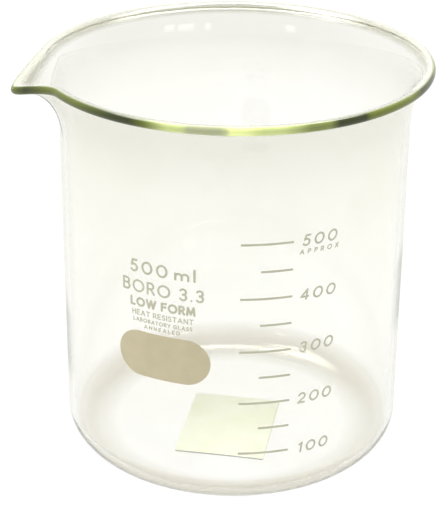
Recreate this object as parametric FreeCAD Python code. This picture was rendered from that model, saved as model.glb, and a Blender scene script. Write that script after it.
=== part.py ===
"""Low-form laboratory beaker, 500 ml, with a flared lip, a pouring spout and fired enamel markings.

Frame: +Z up, the origin on the beaker's axis at the plane that it stands on, millimetres.
The spout points along -X, and the graduated scale faces -Y.
An azimuth is measured about +Z from -Y, and grows towards +X.
"""

import FreeCAD
import Part
import math
import os

Vector = FreeCAD.Vector
ORIGIN = Vector(0, 0, 0)
UP = Vector(0, 0, 1)

# Glass vessel
WALL_RADIUS = 47.5
GLASS = 1.8
LIP_GLASS = 2.45
HEIGHT = 111.7
LIP_RADIUS = 53.3
CORNER_RADIUS = 8.5
BASE_THICKNESS = 2.0
PUSH_UP = 0.8
PUSH_UP_RADIUS = 33.0
FLARE_START = 92.0

# Spout, which was pulled by hand and is a little lopsided
SPOUT_AZIMUTH = -90.0
SPOUT_REACH = 7.2
SPOUT_DROP = 2.9
BACK_FLANK = 24.0
FRONT_FLANK = 15.0
TIP_ROUNDING = 0.07

# Printed scale: the 100 ml line, whose place is within the 5 % that such a scale is good for
FIRST_LINE = 17.3

# Enamel print
ENAMEL = 0.05
LINE_WIDTH = 0.6
LONG_LINE = (-13.7, 2.7)
SHORT_LINE = (-7.4, 2.7)
NUMERAL_AZIMUTH = 11.7
NUMERAL_HEIGHT = 3.25
NUMERAL_SLANT = 0.14
INSCRIPTION_AZIMUTH = -38.6
PATCH_AZIMUTH = -38.5
PATCH_CENTRE = 43.9
PATCH_SIZE = (26.0, 13.2)

# Paper label under the base, and the layer of gum that holds it
LABEL_SIZE = (25.5, 32.5)
LABEL_THICKNESS = 0.12
GUM = 0.03
LABEL_CENTRE = (-2.4, -5.8)
LABEL_TURN = -25.5

# Worked out from the driving dimensions
BORE_RADIUS = WALL_RADIUS - GLASS
INNER_CORNER = CORNER_RADIUS - GLASS
PRINT_RADIUS = WALL_RADIUS + ENAMEL
ML = 1000.0


def line_height(millilitres):
    """The height of a line of the scale: the straight wall holds equal volumes in equal steps."""
    return FIRST_LINE + (millilitres - 100) * ML / (math.pi * BORE_RADIUS**2)


def held_volume(height):
    """The volume in millilitres up to a height on the straight wall."""
    corner = (1 - math.pi / 4) * INNER_CORNER**2
    corner_radius = BORE_RADIUS - INNER_CORNER * (10 - 3 * math.pi) / (12 - 3 * math.pi)
    dome = math.pi * PUSH_UP * (3 * PUSH_UP_RADIUS**2 + PUSH_UP**2) / 6
    column = math.pi * BORE_RADIUS**2 * (height - BASE_THICKNESS)
    return (column - 2 * math.pi * corner_radius * corner - dome) / ML


def polar(azimuth, radius, height):
    a = math.radians(azimuth)
    return Vector(radius * math.sin(a), -radius * math.cos(a), height)


# ---------------------------------------------------------------- glass vessel


def turned(edges):
    """The surface that a half-profile in the XZ plane makes round the axis."""
    return Part.Wire(edges).revolve(ORIGIN, UP, 360)


def half_profile(radius, corner, floor, top):
    """Edges from the axis over a domed floor, a flat ring and a round corner, and up a straight wall."""
    middle = Vector(0, 0, floor + PUSH_UP)
    dome_side = Vector(PUSH_UP_RADIUS * 0.5, 0, floor + PUSH_UP * 0.75)
    dome_edge = Vector(PUSH_UP_RADIUS, 0, floor)
    ring_edge = Vector(radius - corner, 0, floor)
    corner_side = Vector(radius - corner * (1 - math.sqrt(0.5)), 0, floor + corner * (1 - math.sqrt(0.5)))
    wall_foot = Vector(radius, 0, floor + corner)
    return [
        Part.Arc(middle, dome_side, dome_edge).toShape(),
        Part.LineSegment(dome_edge, ring_edge).toShape(),
        Part.Arc(ring_edge, corner_side, wall_foot).toShape(),
        Part.LineSegment(wall_foot, Vector(radius, 0, top)).toShape(),
    ]


def spout_share(azimuth):
    """1 at the spout's tip, falling along two hollow flanks to 0 where they meet the round lip."""
    off = (azimuth - SPOUT_AZIMUTH + 180) % 360 - 180
    off = off / FRONT_FLANK if off > 0 else -off / BACK_FLANK
    if off >= 1:
        return 0.0
    fall = math.hypot(off, TIP_ROUNDING) - TIP_ROUNDING
    whole_fall = math.hypot(1, TIP_ROUNDING) - TIP_ROUNDING
    return (1 - fall / whole_fall) ** 1.75


def middle_line(azimuth, s):
    """A point (radius, height) midway through the glass: s is 0 on the wall and 1 at the lip's end."""
    share = spout_share(azimuth)
    rise = (HEIGHT - LIP_GLASS / 2 - FLARE_START) * math.sin(s * math.pi / 2) ** 0.9
    flare = (LIP_RADIUS - WALL_RADIUS - (LIP_GLASS - GLASS) / 2) * (1 - math.cos(s * math.pi / 2))
    pull = SPOUT_REACH * share * s**1.8
    droop = SPOUT_DROP * share * s
    return WALL_RADIUS - GLASS / 2 + flare + pull, FLARE_START + rise - droop


def lip_profile(azimuth, steps=14, cap_steps=6):
    """Points round the glass at one azimuth: up the outside, over the rounded lip and down the inside."""
    outside, inside, cap = [], [], []
    for i in range(steps + 1):
        s = i / steps
        half = (GLASS + (LIP_GLASS - GLASS) * s**2) / 2
        r, z = middle_line(azimuth, s)
        r0, z0 = middle_line(azimuth, max(0.0, s - 1e-3))
        r1, z1 = middle_line(azimuth, min(1.0, s + 1e-3))
        length = math.hypot(r1 - r0, z1 - z0)
        tr, tz = ((r1 - r0) / length, (z1 - z0) / length) if i else (0.0, 1.0)
        outside.append((r + half * tz, z - half * tr))
        inside.append((r - half * tz, z + half * tr))
    for i in range(1, cap_steps):
        a = math.pi * i / cap_steps
        out, across = half * math.sin(a), half * math.cos(a)
        cap.append((r + out * tr + across * tz, z + out * tz - across * tr))
    return [polar(azimuth, pr, pz) for pr, pz in outside + cap + inside[::-1]]


def skin(profiles):
    """One smooth face through every profile, closed round the axis."""
    count = len(profiles)
    lengths = [0.0]
    for a, b in zip(profiles[0], profiles[0][1:]):
        lengths.append(lengths[-1] + a.distanceToPoint(b))
    along = [x / lengths[-1] for x in lengths]
    start, end = UP * lengths[-1], UP * -lengths[-1]
    columns = []
    for points in profiles:
        column = Part.BSplineCurve()
        column.interpolate(
            Points=points, Parameters=along, InitialTangent=start, FinalTangent=end, Scale=False
        )
        columns.append(column)
    around = [i / count for i in range(count + 1)]
    rings = []
    for k in range(columns[0].NbPoles):
        ring = Part.BSplineCurve()
        ring.interpolate(Points=[c.getPole(k + 1) for c in columns], Parameters=around, PeriodicFlag=True)
        rings.append(ring)
    surface = Part.BSplineSurface()
    surface.buildFromPolesMultsKnots(
        [[ring.getPole(i + 1) for ring in rings] for i in range(rings[0].NbPoles)],
        rings[0].getMultiplicities(),
        columns[0].getMultiplicities(),
        rings[0].getKnots(),
        columns[0].getKnots(),
        True,
        False,
        rings[0].Degree,
        columns[0].Degree,
    )
    return surface.toShape()


def glass_vessel():
    outside = turned(half_profile(WALL_RADIUS, CORNER_RADIUS, 0, FLARE_START))
    inside = turned(half_profile(BORE_RADIUS, INNER_CORNER, BASE_THICKNESS, FLARE_START))
    count = 144
    lip = skin([lip_profile(360.0 * i / count) for i in range(count)])
    shell = Part.makeShell(outside.Faces + inside.Faces + lip.Faces)
    shell.sewShape(1e-3)
    solid = Part.makeSolid(shell.Shells[0])
    if solid.Volume < 0:
        solid.reverse()
    return solid


# ---------------------------------------------------------------- enamel print


def printed(solids):
    """What is left of some blocks in the thin layer of enamel on the outside of the wall."""
    layer = Part.makeCylinder(PRINT_RADIUS, HEIGHT).cut(Part.makeCylinder(WALL_RADIUS, HEIGHT))
    return Part.makeCompound([s.common(layer) for s in solids])


def block(face, depth=2.0):
    """A block that reaches that deep into the wall at azimuth 0, from a face drawn in the XZ plane."""
    face.translate(Vector(0, -WALL_RADIUS - 1, 0))
    return face.extrude(Vector(0, depth + 1, 0))


def graduation_line(height, span):
    """A line round part of the wall, between two azimuths."""
    start, end = span
    low, high = height - LINE_WIDTH / 2, height + LINE_WIDTH / 2
    corners = [polar(start, r, z) for r, z in
               ((WALL_RADIUS, low), (PRINT_RADIUS, low), (PRINT_RADIUS, high), (WALL_RADIUS, high))]
    section = Part.Face(Part.makePolygon(corners + corners[:1]))
    return section.revolve(ORIGIN, UP, end - start)


def writing_patch():
    """A patch with half-round ends, for writing on with a pencil."""
    width, height = PATCH_SIZE
    radius = height / 2
    flat = width / 2 - radius
    right = Part.Arc(Vector(flat, 0, -radius), Vector(flat + radius, 0, 0), Vector(flat, 0, radius))
    left = Part.Arc(Vector(-flat, 0, radius), Vector(-flat - radius, 0, 0), Vector(-flat, 0, -radius))
    top = Part.LineSegment(Vector(flat, 0, radius), Vector(-flat, 0, radius))
    bottom = Part.LineSegment(Vector(-flat, 0, -radius), Vector(flat, 0, -radius))
    patch = block(Part.Face(Part.Wire([c.toShape() for c in (right, top, left, bottom)])), radius)
    patch.translate(Vector(0, 0, PATCH_CENTRE))
    patch.rotate(ORIGIN, UP, PATCH_AZIMUTH)
    return printed([patch])


# A glyph is its width and its strokes, for capitals 1 high, along the middle of the strokes.
# A stroke is a list of (x, z) points, an arc as (centre x, centre z, radius, first angle, last angle)
# in degrees, anticlockwise, or an oval as its centre and its two radii. The last glyph is a thin space.
GLYPHS = {
    "0": (0.86, [("oval", 0.43, 0.5, 0.43, 0.5)]),
    "1": (0.30, [[(0.02, 0.8), (0.26, 1), (0.26, 0)]]),
    "2": (0.66, [(0.32, 0.69, 0.31, -38, 165), [(0.56, 0.5), (0.02, 0), (0.66, 0)]]),
    "3": (0.62, [(0.30, 0.75, 0.25, -90, 150), (0.30, 0.27, 0.27, -150, 90)]),
    "4": (0.72, [[(0.54, 0), (0.54, 1), (0, 0.26), (0.72, 0.26)]]),
    "5": (0.64, [[(0.58, 1), (0.2, 1), (0.1, 0.55)], (0.31, 0.31, 0.31, -145, 132)]),
    "A": (0.84, [[(0, 0), (0.42, 1), (0.84, 0)], [(0.14, 0.32), (0.7, 0.32)]]),
    "B": (0.6, [[(0.32, 0.54), (0, 0.54), (0, 1), (0.32, 1)], [(0, 0.54), (0, 0), (0.32, 0)],
                (0.32, 0.77, 0.23, -90, 90), (0.32, 0.27, 0.27, -90, 90)]),
    "D": (0.75, [[(0.25, 1), (0, 1), (0, 0), (0.25, 0)], (0.25, 0.5, 0.5, -90, 90)]),
    "E": (0.55, [[(0.55, 1), (0, 1), (0, 0), (0.55, 0)], [(0, 0.52), (0.48, 0.52)]]),
    "F": (0.55, [[(0.55, 1), (0, 1), (0, 0)], [(0, 0.52), (0.48, 0.52)]]),
    "G": (1.0, [(0.5, 0.5, 0.5, 45, 345), [(0.55, 0.42), (0.98, 0.42)]]),
    "H": (0.68, [[(0, 0), (0, 1)], [(0.68, 0), (0.68, 1)], [(0, 0.52), (0.68, 0.52)]]),
    "I": (0.0, [[(0, 0), (0, 1)]]),
    "L": (0.5, [[(0, 1), (0, 0), (0.5, 0)]]),
    "M": (0.92, [[(0, 0), (0.1, 1), (0.46, 0.1), (0.82, 1), (0.92, 0)]]),
    "N": (0.74, [[(0, 0), (0, 1), (0.74, 0), (0.74, 1)]]),
    "O": (1.0, [("oval", 0.5, 0.5, 0.5, 0.5)]),
    "P": (0.55, [[(0, 0), (0, 1), (0.28, 1)], [(0, 0.46), (0.28, 0.46)], (0.28, 0.73, 0.27, -90, 90)]),
    "R": (0.6, [[(0, 0), (0, 1), (0.28, 1)], [(0, 0.46), (0.28, 0.46)], [(0.3, 0.46), (0.6, 0)],
                (0.28, 0.73, 0.27, -90, 90)]),
    "S": (0.56, [(0.28, 0.76, 0.24, 30, 270), (0.28, 0.26, 0.26, -150, 90)]),
    "T": (0.66, [[(0, 1), (0.66, 1)], [(0.33, 1), (0.33, 0)]]),
    "W": (1.2, [[(0, 1), (0.3, 0), (0.6, 1), (0.9, 0), (1.2, 1)]]),
    "X": (0.72, [[(0, 0), (0.7, 1)], [(0.02, 1), (0.72, 0)]]),
    "Y": (0.76, [[(0, 1), (0.38, 0.46), (0.76, 1)], [(0.38, 0.46), (0.38, 0)]]),
    "m": (1.12, [[(0, 0), (0, 0.54)], (0.28, 0.26, 0.28, 0, 180), [(0.56, 0.26), (0.56, 0)],
                 (0.84, 0.26, 0.28, 0, 180), [(1.12, 0.26), (1.12, 0)]]),
    "l": (0.0, [[(0, 0), (0, 1)]]),
    ".": (0.0, [[(0, 0), (0, 0.02)]]),
    " ": (0.5, []),
    "\u2009": (0.25, []),
}


def disc(x, z, radius):
    return Part.Face(Part.Wire(Part.Circle(Vector(x, 0, z), Vector(0, -1, 0), radius).toShape()))


def bar(start, end, width):
    """A straight stroke between two points, without its round ends."""
    (x0, z0), (x1, z1) = start, end
    length = math.hypot(x1 - x0, z1 - z0)
    nx, nz = -(z1 - z0) / length * width / 2, (x1 - x0) / length * width / 2
    corners = [Vector(x0 + nx, 0, z0 + nz), Vector(x0 - nx, 0, z0 - nz),
               Vector(x1 - nx, 0, z1 - nz), Vector(x1 + nx, 0, z1 + nz)]
    return Part.Face(Part.makePolygon(corners + corners[:1]))


def bow(x, z, radius, first, last, width):
    """A stroke along an arc, without its round ends."""

    def at(angle, r):
        a = math.radians(angle)
        return Vector(x + r * math.cos(a), 0, z + r * math.sin(a))

    outer, inner, half = radius + width / 2, radius - width / 2, (first + last) / 2
    edges = [
        Part.Arc(at(first, outer), at(half, outer), at(last, outer)),
        Part.LineSegment(at(last, outer), at(last, inner)),
        Part.Arc(at(last, inner), at(half, inner), at(first, inner)),
        Part.LineSegment(at(first, inner), at(first, outer)),
    ]
    return Part.Face(Part.Wire([e.toShape() for e in edges]))


def oval(x, z, rx, rz, width):
    """A closed stroke along an ellipse or a circle."""

    def ring(grow):
        flat = disc(0, 0, 1.0)
        size = FreeCAD.Matrix()
        size.scale(rx + grow, 1, rz + grow)
        size.move(Vector(x, 0, z))
        return flat.transformGeometry(size)

    return ring(width / 2).cut(ring(-width / 2)).Faces[0]


def stroke_faces(stroke, size, width):
    """The flat pieces that make one stroke of a glyph of that size."""
    if isinstance(stroke, list):
        points = [(x * size, z * size) for x, z in stroke]
        bars = [bar(a, b, width) for a, b in zip(points, points[1:])]
        return bars + [disc(x, z, width / 2) for x, z in points]
    if stroke[0] == "oval":
        x, z, rx, rz = (v * size for v in stroke[1:])
        return [oval(x, z, rx, rz, width)]
    x, z, radius = (v * size for v in stroke[:3])
    ends = [math.radians(a) for a in stroke[3:]]
    caps = [disc(x + radius * math.cos(a), z + radius * math.sin(a), width / 2) for a in ends]
    return [bow(x, z, radius, stroke[3], stroke[4], width)] + caps


def glyph_block(letter, size, width, slant):
    """A block in the shape of one letter, centred on azimuth 0 with its foot at height 0."""
    advance, strokes = GLYPHS[letter]
    blocks = [block(f) for stroke in strokes for f in stroke_faces(stroke, size, width)]
    solid = blocks[0].multiFuse(blocks[1:]) if len(blocks) > 1 else blocks[0]
    solid.translate(Vector(-advance * size / 2, 0, 0))
    if slant:
        lean = FreeCAD.Matrix()
        lean.A13 = slant
        lean.A14 = -slant * size / 2
        solid = solid.transformGeometry(lean)
    return solid


def legend(text, azimuth, foot, height, width, gap, slant=0.0):
    """A line of enamel letters round the wall, centred on an azimuth.

    height is that of a capital with its strokes, and gap is the space from stroke to stroke.
    """
    size = height - width
    advances = [GLYPHS[letter][0] * size + (gap + width if GLYPHS[letter][1] else 0) for letter in text]
    blocks, at = [], (gap + width - sum(advances)) / 2
    for letter, advance in zip(text, advances):
        if GLYPHS[letter][1]:
            solid = glyph_block(letter, size, width, slant)
            solid.translate(Vector(0, 0, foot + width / 2))
            middle = at + GLYPHS[letter][0] * size / 2
            solid.rotate(ORIGIN, UP, azimuth + math.degrees(middle / WALL_RADIUS))
            blocks.append(solid)
        at += advance
    return printed(blocks)


# ---------------------------------------------------------------- paper label


def base_label():
    """A paper label that is stuck to the hollow underside of the base."""
    width, length = LABEL_SIZE
    ball = (PUSH_UP_RADIUS**2 + PUSH_UP**2) / (2 * PUSH_UP)
    centre = Vector(0, 0, PUSH_UP - ball - GUM)
    sheet = Part.makeSphere(ball, centre).cut(Part.makeSphere(ball - LABEL_THICKNESS, centre))
    outline = Part.makeBox(width, length, 2 * PUSH_UP, Vector(-width / 2, -length / 2, 0))
    upright = [e for e in outline.Edges if abs(e.Vertexes[0].Z - e.Vertexes[-1].Z) > PUSH_UP]
    outline = outline.makeFillet(0.8, upright)
    outline.rotate(ORIGIN, UP, LABEL_TURN)
    outline.translate(Vector(*LABEL_CENTRE, 0))
    return outline.common(sheet)


def nodes():
    made = {"glass_vessel": glass_vessel(), "writing_patch": writing_patch(), "base_label": base_label()}
    for volume in range(100, 501, 50):
        span = SHORT_LINE if volume % 100 else LONG_LINE
        made[f"graduation_line_{volume}"] = graduation_line(line_height(volume), span)
    for volume in range(100, 501, 100):
        foot = line_height(volume) - NUMERAL_HEIGHT / 2
        made[f"numeral_{volume}"] = legend(
            str(volume), NUMERAL_AZIMUTH, foot, NUMERAL_HEIGHT, 0.52, 1.05, NUMERAL_SLANT
        )
    made["approx_legend"] = legend("APPROX", 11.6, line_height(500) - 3.85, 1.45, 0.29, 0.93, NUMERAL_SLANT)
    made["capacity_legend"] = legend("500\u2009ml", INSCRIPTION_AZIMUTH, 67.2, 3.7, 0.62, 1.0)
    made["glass_type_legend"] = legend("BORO 3.3", INSCRIPTION_AZIMUTH, 61.6, 3.65, 0.56, 0.68)
    made["form_legend"] = legend("LOW FORM", INSCRIPTION_AZIMUTH, 57.55, 2.7, 0.62, 0.2)
    made["heat_legend"] = legend("HEAT RESISTANT", INSCRIPTION_AZIMUTH, 55.05, 1.6, 0.27, 0.23)
    made["use_legend"] = legend("LABORATORY GLASS", INSCRIPTION_AZIMUTH, 53.2, 1.2, 0.25, 0.17)
    made["finish_legend"] = legend("ANNEALED", INSCRIPTION_AZIMUTH, 51.5, 1.2, 0.24, 0.43)
    return made


def main():
    os.makedirs("parts", exist_ok=True)
    for name, shape in nodes().items():
        if not shape.isValid():
            print("not valid:", name)
        shape.exportStep(f"parts/{name}.step")
        print(name, "solids", len(shape.Solids), "volume", round(shape.Volume, 2))
    for volume in range(100, 501, 100):
        height = line_height(volume)
        print(volume, "ml line at", round(height, 2), "mm holds", round(held_volume(height), 1), "ml")


main()
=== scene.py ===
import math

import bpy
from mathutils import Matrix


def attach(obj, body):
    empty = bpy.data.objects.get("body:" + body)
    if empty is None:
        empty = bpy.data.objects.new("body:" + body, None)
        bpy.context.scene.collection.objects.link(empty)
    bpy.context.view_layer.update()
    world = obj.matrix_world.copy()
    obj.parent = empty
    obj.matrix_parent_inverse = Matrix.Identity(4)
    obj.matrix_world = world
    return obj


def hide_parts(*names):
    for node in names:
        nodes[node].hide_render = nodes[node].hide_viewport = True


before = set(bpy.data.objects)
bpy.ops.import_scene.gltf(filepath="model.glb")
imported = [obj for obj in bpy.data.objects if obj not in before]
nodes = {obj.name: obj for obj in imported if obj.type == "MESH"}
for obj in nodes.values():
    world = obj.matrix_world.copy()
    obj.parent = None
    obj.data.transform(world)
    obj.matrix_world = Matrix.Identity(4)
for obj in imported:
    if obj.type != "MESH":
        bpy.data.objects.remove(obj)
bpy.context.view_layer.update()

# Light crosses many surfaces on its way through a glass vessel
BOUNCES = 48

scene = bpy.context.scene
scene.view_settings.view_transform = "Standard"
scene.cycles.max_bounces = BOUNCES
scene.cycles.transmission_bounces = BOUNCES


# ---------------------------------------------------------------- sizes

# The glass vessel, as the CAD model has it
WALL_RADIUS = 0.0475
GLASS = 0.0018
LIP_GLASS = 0.00245
HEIGHT = 0.1117
LIP_RADIUS = 0.0533
CORNER_RADIUS = 0.0085
BASE_THICKNESS = 0.0020
PUSH_UP = 0.0008
PUSH_UP_RADIUS = 0.0330
FLARE_START = 0.0920
SPOUT_AZIMUTH = -90.0
SPOUT_REACH = 0.0072
SPOUT_DROP = 0.0029
BACK_FLANK = 24.0
FRONT_FLANK = 15.0
TIP_ROUNDING = 0.07

# Steps of the vessel's mesh
AROUND = 360
DOME_STEPS = 12
CORNER_STEPS = 24
WALL_STEPS = 24
FLARE_STEPS = 20
CAP_STEPS = 12

# The paper label
LABEL_SIZE = (0.0255, 0.0325)
LABEL_CENTRE = (-0.0024, -0.0058)
LABEL_TURN = math.radians(-25.5)


# ---------------------------------------------------------------- camera

# The lens and the sensor are in millimetres, the place in metres and the turns in radians
LENS = 114.05
SENSOR = 36
CAMERA_PLACE = (-0.11596, -0.4044, 0.2514)
CAMERA_HEADING = math.radians(-15.5)
CAMERA_TILT = math.radians(64.6)
CAMERA_ROLL = 0.0085


def make_camera():
    """A view from about 16 degrees to the left of the scale and 25 degrees above the horizon."""
    data = bpy.data.cameras.new("camera")
    data.lens = LENS
    data.sensor_width = SENSOR
    camera = bpy.data.objects.new("camera", data)
    scene.collection.objects.link(camera)
    turn = Matrix.Rotation(CAMERA_HEADING, 4, "Z") @ Matrix.Rotation(CAMERA_TILT, 4, "X")
    turn = turn @ Matrix.Rotation(CAMERA_ROLL, 4, "Z")
    camera.matrix_world = Matrix.Translation(CAMERA_PLACE) @ turn
    scene.camera = camera


make_camera()


# ---------------------------------------------------------------- glass vessel


def spout_share(azimuth):
    """1 at the spout's tip, falling along two hollow flanks to 0 where they meet the round lip."""
    off = (azimuth - SPOUT_AZIMUTH + 180) % 360 - 180
    off = off / FRONT_FLANK if off > 0 else -off / BACK_FLANK
    if off >= 1:
        return 0.0
    fall = math.hypot(off, TIP_ROUNDING) - TIP_ROUNDING
    whole_fall = math.hypot(1, TIP_ROUNDING) - TIP_ROUNDING
    return (1 - fall / whole_fall) ** 1.75


def middle_line(share, s):
    """A point (radius, height) midway through the glass: s is 0 on the wall and 1 at the lip's end."""
    rise = (HEIGHT - LIP_GLASS / 2 - FLARE_START) * math.sin(s * math.pi / 2) ** 0.9
    flare = (LIP_RADIUS - WALL_RADIUS - (LIP_GLASS - GLASS) / 2) * (1 - math.cos(s * math.pi / 2))
    radius = WALL_RADIUS - GLASS / 2 + flare + SPOUT_REACH * share * s**1.8
    return radius, FLARE_START + rise - SPOUT_DROP * share * s


def lip_profile(share):
    """Points (radius, height, end) up the outside of the flare, over its rounded end and down the inside.

    end goes up to 0.1 on the outside of the flare, to 0.7 over the rounded end and to 1 on the inside.
    """
    outside, inside, cap = [], [], []
    for i in range(FLARE_STEPS + 1):
        s = i / FLARE_STEPS
        half = (GLASS + (LIP_GLASS - GLASS) * s**2) / 2
        r, z = middle_line(share, s)
        r0, z0 = middle_line(share, max(0.0, s - 1e-3))
        r1, z1 = middle_line(share, min(1.0, s + 1e-3))
        length = math.hypot(r1 - r0, z1 - z0)
        tr, tz = ((r1 - r0) / length, (z1 - z0) / length) if i else (0.0, 1.0)
        outside.append((r + half * tz, z - half * tr, 0.1 * s))
        inside.append((r - half * tz, z + half * tr, 1.0 - 0.3 * s))
    for i in range(CAP_STEPS + 1):
        a = math.pi * i / CAP_STEPS
        out, across = half * math.sin(a), half * math.cos(a)
        end = 0.1 + 0.6 * i / CAP_STEPS
        cap.append((r + out * tr + across * tz, z + out * tz - across * tr, end))
    return outside[:-1] + cap + inside[-2::-1]


def half_profile(radius, corner, floor, end):
    """Points over a domed floor, a flat ring and a round corner, and up a straight wall."""
    points = []
    for i in range(1, DOME_STEPS + 1):
        r = PUSH_UP_RADIUS * i / DOME_STEPS
        points.append((r, floor + PUSH_UP * (1 - (r / PUSH_UP_RADIUS) ** 2), end))
    points.append(((PUSH_UP_RADIUS + radius - corner) / 2, floor, end))
    for i in range(CORNER_STEPS + 1):
        a = math.pi / 2 * i / CORNER_STEPS
        points.append((radius - corner + corner * math.sin(a), floor + corner - corner * math.cos(a), end))
    foot = floor + corner
    for i in range(1, WALL_STEPS):
        points.append((radius, foot + (FLARE_START - foot) * i / WALL_STEPS, end))
    return points


def make_vessel():
    """The same glass as the CAD node, in even rows: long thin triangles show as jags where it refracts."""
    outer = half_profile(WALL_RADIUS, CORNER_RADIUS, 0.0, 0.0)
    inner = half_profile(WALL_RADIUS - GLASS, CORNER_RADIUS - GLASS, BASE_THICKNESS, 1.0)[::-1]
    columns = [outer + lip_profile(spout_share(360 * i / AROUND)) + inner for i in range(AROUND)]
    rows = len(columns[0])
    points = [(0, 0, PUSH_UP), (0, 0, BASE_THICKNESS + PUSH_UP)]
    ends = [0.0, 1.0]
    for i, column in enumerate(columns):
        a = 2 * math.pi * i / AROUND
        points += [(r * math.sin(a), -r * math.cos(a), z) for r, z, end in column]
        ends += [end for r, z, end in column]
    faces = []
    for i in range(AROUND):
        here, there = 2 + i * rows, 2 + (i + 1) % AROUND * rows
        faces.append((0, there, here))
        faces += [(here + k, there + k, there + k + 1, here + k + 1) for k in range(rows - 1)]
        faces.append((1, here + rows - 1, there + rows - 1))
    mesh = bpy.data.meshes.new("glass_vessel_fine")
    mesh.from_pydata(points, [], faces)
    mesh.attributes.new("end", "FLOAT", "POINT").data.foreach_set("value", ends)
    mesh.polygons.foreach_set("use_smooth", [True] * len(faces))
    mesh.validate()
    vessel = bpy.data.objects.new("glass_vessel_fine", mesh)
    scene.collection.objects.link(vessel)
    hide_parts("glass_vessel")
    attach(vessel, "root")
    return vessel


vessel = make_vessel()


# ---------------------------------------------------------------- node helpers

BLACK = (0, 0, 0)
WHITE = (1, 1, 1)


class Tree:
    """A thin wrapper round a node tree: add makes a node, sets its inputs and returns it."""

    def __init__(self, tree):
        self.tree = tree
        tree.nodes.clear()

    def add(self, kind, values=None, **settings):
        node = self.tree.nodes.new("ShaderNode" + kind)
        for name, value in settings.items():
            setattr(node, name, value)
        for key, value in (values or {}).items():
            socket = node.inputs[key]
            if isinstance(value, bpy.types.NodeSocket):
                self.tree.links.new(value, socket)
            elif socket.type == "RGBA":
                socket.default_value = (*value, 1)
            else:
                socket.default_value = value
        return node

    def math(self, operation, *values):
        return self.add("Math", dict(enumerate(values)), operation=operation).outputs[0]

    def multiply(self, first, second):
        return self.math("MULTIPLY", first, second)

    def fade(self, value, start, stop, first=0.0, last=1.0):
        """first up to start and last from stop on, with an even change between them."""
        ends = {"From Min": start, "From Max": stop, "To Min": first, "To Max": last}
        return self.add("MapRange", {"Value": value, **ends}).outputs[0]

    def mix(self, share, first, second, **settings):
        return self.add("MixRGB", {"Fac": share, "Color1": first, "Color2": second}, **settings).outputs[0]

    def ramp(self, value, *stops):
        node = self.add("ValToRGB", {"Fac": value})
        elements = node.color_ramp.elements
        while len(elements) < len(stops):
            elements.new(0.5)
        for element, (position, colour) in zip(elements, stops):
            element.position = position
            element.color = (*colour, 1)
        return node.outputs["Color"]

    def noise(self, place, scale, detail):
        return self.add("TexNoise", {"Vector": place, "Scale": scale, "Detail": detail}).outputs["Fac"]

    def bump(self, height, strength, distance):
        values = {"Height": height, "Strength": strength, "Distance": distance}
        return self.add("Bump", values).outputs["Normal"]

    def turn_share(self, x, y):
        """The share of a turn about +Z from +Y: the spout is at 0.25 and the scale's side at 0.5."""
        azimuth = self.math("ARCTAN2", x, self.multiply(y, -1.0))
        return self.math("MULTIPLY_ADD", azimuth, 0.5 / math.pi, 0.5)


def material(name):
    made = bpy.data.materials.new(name)
    made.use_nodes = True
    return made, Tree(made.node_tree)


# ---------------------------------------------------------------- glass

# The tones of the lip's rounded end: the olive of the glass seen along it, darkened in places by painted
# reflections (DEEP, DARK_OLIVE) and lightened in others by painted highlights (MIDDLE, GREY_GREEN, PALE,
# BRIGHT)
DEEP = (0.030, 0.042, 0.004)
DARK_OLIVE = (0.10, 0.125, 0.010)
OLIVE = (0.135, 0.165, 0.020)
MIDDLE = (0.20, 0.24, 0.06)
GREY_GREEN = (0.41, 0.44, 0.25)
PALE = (0.60, 0.68, 0.26)
BRIGHT = (0.88, 0.97, 0.38)

# Where each of them is, in shares of a turn about +Z from +Y
LIP_TINT_AND_REFLECTIONS = (
    (0.0, OLIVE),
    (0.12, DEEP),
    (0.20, OLIVE),
    (0.25, OLIVE),
    (0.262, DEEP),
    (0.278, DARK_OLIVE),
    (0.32, DARK_OLIVE),
    (0.36, DEEP),
    (0.376, DEEP),
    (0.389, OLIVE),
    (0.406, PALE),
    (0.417, PALE),
    (0.421, GREY_GREEN),
    (0.448, GREY_GREEN),
    (0.453, BRIGHT),
    (0.463, BRIGHT),
    (0.475, PALE),
    (0.490, PALE),
    (0.512, MIDDLE),
    (0.529, MIDDLE),
    (0.533, DEEP),
    (0.559, DEEP),
    (0.564, OLIVE),
    (0.615, OLIVE),
    (0.633, DEEP),
    (0.665, DEEP),
    (0.69, OLIVE),
    (0.78, DEEP),
    (0.86, OLIVE),
)

# Below and above those tones: a painted highlight underneath and a soft grey painted highlight on top.
# Then the lip's underside where it is seen through the glass: a pale painted light with a painted shade
# line beside it
FRINGE_HIGHLIGHT = (0.75, 0.88, 0.40)
CREST_HIGHLIGHT = (0.36, 0.37, 0.26)
UNDERSIDE_SHADE_LINE = (0.45, 0.44, 0.36)
UNDERSIDE_LIGHT = (0.75, 0.75, 0.62)

# The base's corner: its painted shade tone, and the radii and heights between which that painted shade
# fades in
CORNER_SHADE_BEIGE = (0.78, 0.755, 0.68)
CORNER_RADII = (0.033, 0.042)
CORNER_HEIGHTS = (0.009, 0.003)

# Painted tones where the wall is seen edge on: most of it olive, partly the glass's own tint and partly
# painted shade; a dark olive painted shade in a slanting band; and a pale grey painted shade line round
# the base
EDGE = (0.68, 0.69, 0.50)
DARK_EDGE_SHADE = (0.09, 0.11, 0.02)
BASE_EDGE_SHADE = (0.88, 0.87, 0.82)

# That edge in terms of Layer Weight's facing, which is 1 edge on, and how much sooner a bold one starts
EDGE_START = 0.80
EDGE_FULL = 0.90
BOLD_LEAD = 0.07

GLASS_IOR = 1.473
GLASS_TINT = (0.56, 0.59, 0.02)
GLASS_DENSITY = 14.0


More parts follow.
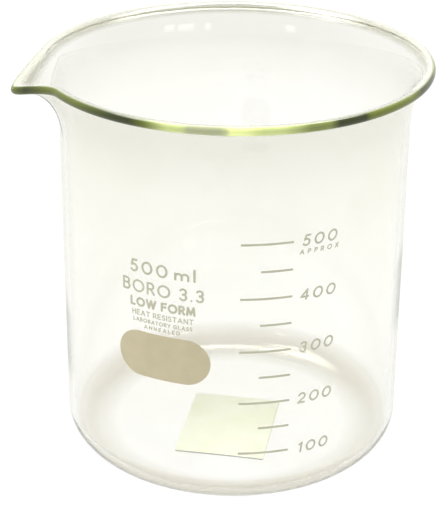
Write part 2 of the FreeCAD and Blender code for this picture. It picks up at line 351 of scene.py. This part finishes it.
def lip_end(t, end, inside, x, y):
    """The lip's end from outside: a pale painted highlight underneath, then olive with its painted
    reflections, and a soft grey painted highlight along the top.
    """
    band = t.ramp(end, (0.095, BLACK), (0.12, WHITE), (0.67, WHITE), (0.74, BLACK))
    fringe_highlight = t.ramp(end, (0.13, WHITE), (0.23, BLACK))
    crest_highlight = t.ramp(end, (0.58, BLACK), (0.68, WHITE))
    tone = t.mix(fringe_highlight, t.ramp(t.turn_share(x, y), *LIP_TINT_AND_REFLECTIONS), FRINGE_HIGHLIGHT)
    return t.multiply(band, t.math("SUBTRACT", 1.0, inside)), t.mix(crest_highlight, tone, CREST_HIGHLIGHT)


def lip_underside(t, end, inside):
    """The lip's underside through the glass: a pale painted light, with a soft grey-beige painted shade
    line beside it.
    """
    under = t.ramp(end, (0.07, BLACK), (0.085, WHITE), (0.34, WHITE), (0.48, BLACK))
    return t.multiply(under, inside), t.ramp(end, (0.09, UNDERSIDE_SHADE_LINE), (0.11, UNDERSIDE_LIGHT))


def body_tint_and_shade(t, place, z, corner):
    """Clear glass with faint smudges, and painted shade: a little greyer towards the lip and beige in the
    base's corner.
    """
    cloud = t.noise(place, 38.0, 3.0)
    smudge = t.ramp(cloud, (0.35, WHITE), (0.52, (0.99, 0.985, 0.975)), (0.7, (0.975, 0.98, 0.97)))
    # Painted shade: the glass darkens towards the lip
    grey = t.ramp(
        t.math("DIVIDE", z, HEIGHT),
        (0.2, WHITE),
        (0.4, (0.98, 0.98, 0.965)),
        (0.65, (0.965, 0.965, 0.945)),
        (0.8, (0.93, 0.925, 0.895)),
        (0.92, (0.84, 0.835, 0.80)),
    )
    return t.mix(corner, t.mix(1.0, smudge, grey, blend_type="MULTIPLY"), CORNER_SHADE_BEIGE)


def painted_shade_band(t, x, z):
    """A slanting band round the wall, higher on the +X side, where its edge gets a dark olive painted
    shade.

    The level is ten times a height in metres, so that the ramp has enough steps across the band.
    """
    level = t.math("SUBTRACT", t.multiply(z, 10.0), t.multiply(x, 1.9))
    return t.ramp(level, (0.26, BLACK), (0.34, WHITE), (0.50, WHITE), (0.58, BLACK))


def edge_on(t, end, bold):
    """Where the outside of the wall is seen edge on, which is a wider strip where bold is 1."""
    facing = t.add("LayerWeight", {"Blend": 0.5}).outputs["Facing"]
    start = t.math("MULTIPLY_ADD", bold, -BOLD_LEAD, EDGE_START)
    return t.multiply(t.fade(facing, start, EDGE_FULL), t.math("LESS_THAN", end, 0.5))


def glass_material():
    """Clear borosilicate glass, olive where one looks along it, at the lip and along the wall's edges,
    with painted light and shade there and in the base's corner.
    """
    made, t = material("borosilicate_glass")
    place = t.add("TexCoord").outputs["Object"]
    x, y, z = t.add("SeparateXYZ", {0: place}).outputs
    end = t.add("Attribute", attribute_name="end").outputs["Fac"]
    inside = t.add("NewGeometry").outputs["Backfacing"]

    radius = t.math("SQRT", t.math("ADD", t.math("POWER", x, 2.0), t.math("POWER", y, 2.0)))
    low = t.fade(z, *CORNER_HEIGHTS)
    corner = t.multiply(t.fade(radius, *CORNER_RADII), low)
    shade_band = painted_shade_band(t, x, z)
    bold = t.math("MAXIMUM", low, shade_band)
    edge = edge_on(t, end, bold)
    # The edge tones: the glass's olive tint with painted shade, a darker painted shade in the slanting
    # band, and a pale painted shade line low down round the base
    edge_tint_and_shade = t.mix(low, t.mix(shade_band, EDGE, DARK_EDGE_SHADE), BASE_EDGE_SHADE)
    under, under_painted_light = lip_underside(t, end, inside)
    rim, rim_tint_and_painted_light = lip_end(t, end, inside, x, y)
    colour = t.mix(edge, body_tint_and_shade(t, place, z, corner), edge_tint_and_shade)
    colour = t.mix(under, colour, under_painted_light)
    colour = t.mix(rim, colour, rim_tint_and_painted_light)

    # Where light is piped along the glass, it scatters: there the glass is only partly clear. This opaque
    # share also lets the painted light and shade of the lip, its underside, the wall's edges and the
    # base's corner show.
    opaque_share = t.multiply(edge, t.math("MULTIPLY_ADD", bold, 0.5, 0.5))
    opaque_share = t.math("MAXIMUM", opaque_share, t.multiply(under, 0.6))
    opaque_share = t.math("MAXIMUM", opaque_share, t.multiply(t.multiply(corner, inside), 0.12))
    clear = t.math("MULTIPLY_ADD", t.math("MAXIMUM", rim, opaque_share), -0.93, 1.0)
    shader = t.add(
        "BsdfPrincipled",
        {
            "Base Color": colour,
            "Roughness": 0.0,
            "IOR": GLASS_IOR,
            "Transmission Weight": clear,
            "Normal": t.bump(t.noise(place, 55.0, 2.0), 0.02, 0.0004),
        },
    )
    tint = t.add("VolumeAbsorption", {"Color": GLASS_TINT, "Density": GLASS_DENSITY})
    t.add("OutputMaterial", {"Surface": shader.outputs[0], "Volume": tint.outputs[0]})
    return made


# ---------------------------------------------------------------- enamel and paper

# Two tones each, which a cloudy noise mixes
PRINT_TONES = ((0.45, 0.445, 0.325), (0.52, 0.515, 0.385))
PATCH_TONES = ((0.50, 0.445, 0.288), (0.55, 0.485, 0.318))
PAPER_TONES = ((0.90, 0.925, 0.76), (0.95, 0.965, 0.84))

GUM_STAIN = (0.80, 0.88, 0.58)
# Painted shadow along the label's front and right edges, where the edges lie in shade under the base
FRONT_EDGE_SHADOW = (0.16, 0.17, 0.12)
SIDE_EDGE_SHADOW = (0.35, 0.36, 0.28)


def enamel_material(name, tones):
    """Fired enamel: a little cloudy, with a fine grain that keeps it satin."""
    made, t = material(name)
    place = t.add("TexCoord").outputs["Object"]
    colour = t.ramp(t.noise(place, 220.0, 4.0), (0.3, tones[0]), (0.7, tones[1]))
    grain = t.bump(t.noise(place, 2500.0, 2.0), 0.3, 0.00002)
    values = {"Base Color": colour, "Roughness": 0.45, "IOR": 1.5, "Normal": grain}
    t.add("OutputMaterial", {"Surface": t.add("BsdfPrincipled", values).outputs[0]})
    return made


def label_material():
    """Pale yellow paper, clouded by its gum, with a painted shadow line along its front and its right
    edge.
    """
    made, t = material("label_paper")
    place = t.add("TexCoord").outputs["Object"]
    own_frame = {0: place, "Location": (*LABEL_CENTRE, 0), "Rotation": (0, 0, LABEL_TURN)}
    own_place = t.add("Mapping", own_frame, vector_type="TEXTURE").outputs[0]
    across, along = t.add("SeparateXYZ", {0: own_place}).outputs[:2]
    front_edge, right_edge = -LABEL_SIZE[1] / 2, LABEL_SIZE[0] / 2

    fibre = t.noise(place, 900.0, 5.0)
    paper = t.ramp(fibre, (0.3, PAPER_TONES[0]), (0.7, PAPER_TONES[1]))
    gum = t.fade(t.noise(place, 110.0, 2.0), 0.45, 0.75)
    paper = t.mix(t.multiply(gum, 0.5), paper, GUM_STAIN)
    # Painted shadow lines along the front and right edges
    front = t.fade(along, front_edge + 0.0005, front_edge + 0.0002)
    paper = t.mix(front, paper, FRONT_EDGE_SHADOW)
    side = t.fade(across, right_edge - 0.0004, right_edge - 0.0001)
    paper = t.mix(t.multiply(side, 0.4), paper, SIDE_EDGE_SHADOW)
    values = {"Base Color": paper, "Roughness": 0.8, "Normal": t.bump(fibre, 0.2, 0.00005)}
    t.add("OutputMaterial", {"Surface": t.add("BsdfPrincipled", values).outputs[0]})
    return made


def dress():
    """Gives every shown piece its material: the writing patch has a browner enamel than the fine print."""
    vessel.data.materials.append(glass_material())
    printed = enamel_material("print_enamel", PRINT_TONES)
    special = {
        "writing_patch": enamel_material("patch_enamel", PATCH_TONES),
        "base_label": label_material(),
    }
    for name, node in nodes.items():
        for held in node.material_slots:
            held.material = special.get(name, printed)


dress()


# ---------------------------------------------------------------- studio

FLOOR_SIZE = 6
FLOOR_LEVEL = -0.0003
FLOOR_GREY = (0.02, 0.02, 0.02)
FLOOR_GLOW = 0.965

ROOM_STRENGTH = 0.85
BACKDROP_STRENGTH = 1.3
LAMP_STRENGTH = 9.2
WINDOW_STRENGTH = 3.0

# Where each window starts, is fully bright from and to, and stops, in shares of a turn about +Z from +Y
WINDOWS = (
    (0.341, 0.346, 0.359, 0.364),
    (0.501, 0.505, 0.511, 0.515),
    (0.533, 0.538, 0.562, 0.566),
    (0.571, 0.575, 0.589, 0.593),
)


def make_floor():
    """A plain pale floor, a hair below the base, that glows as evenly as a light table."""
    bpy.ops.mesh.primitive_plane_add(size=FLOOR_SIZE, location=(0, 0, FLOOR_LEVEL))
    floor = bpy.context.object
    floor.name = "floor"
    made, t = material("floor_paper")
    paper = t.add(
        "BsdfPrincipled",
        {
            "Base Color": FLOOR_GREY,
            "Roughness": 0.9,
            "Emission Color": WHITE,
            "Emission Strength": FLOOR_GLOW,
        },
    )
    t.add("OutputMaterial", {"Surface": paper.outputs[0]})
    floor.data.materials.append(made)


def make_lights():
    """A pale room with a bright backdrop behind the beaker, a wide soft lamp and four small windows."""
    world = bpy.data.worlds.new("studio")
    scene.world = world
    world.use_nodes = True
    t = Tree(world.node_tree)
    x, y, z = t.add("SeparateXYZ", {0: t.add("TexCoord").outputs["Generated"]}).outputs
    backdrop = t.fade(y, -0.1, 0.35, ROOM_STRENGTH, BACKDROP_STRENGTH)

    # The lamp stops short of straight overhead, where the base would mirror it into a view from above.
    high = t.ramp(z, (0.75, BLACK), (0.85, WHITE), (0.965, WHITE), (0.98, BLACK))
    behind = t.fade(y, -0.08, 0.08)
    lamp = t.multiply(t.multiply(high, behind), LAMP_STRENGTH)

    # The windows are low in the room, where the flare of the lip mirrors them as small highlights.
    shades = (BLACK, WHITE, WHITE, BLACK)
    columns = t.ramp(t.turn_share(x, y), *[stop for window in WINDOWS for stop in zip(window, shades)])
    rows = t.ramp(z, (0.23, BLACK), (0.25, WHITE), (0.33, WHITE), (0.35, BLACK))
    windows = t.multiply(t.multiply(columns, rows), WINDOW_STRENGTH)

    strength = t.math("ADD", t.math("ADD", backdrop, lamp), windows)
    sky = t.add("Background", {"Color": WHITE, "Strength": strength})
    t.add("OutputWorld", {"Surface": sky.outputs[0]})


make_floor()
make_lights()
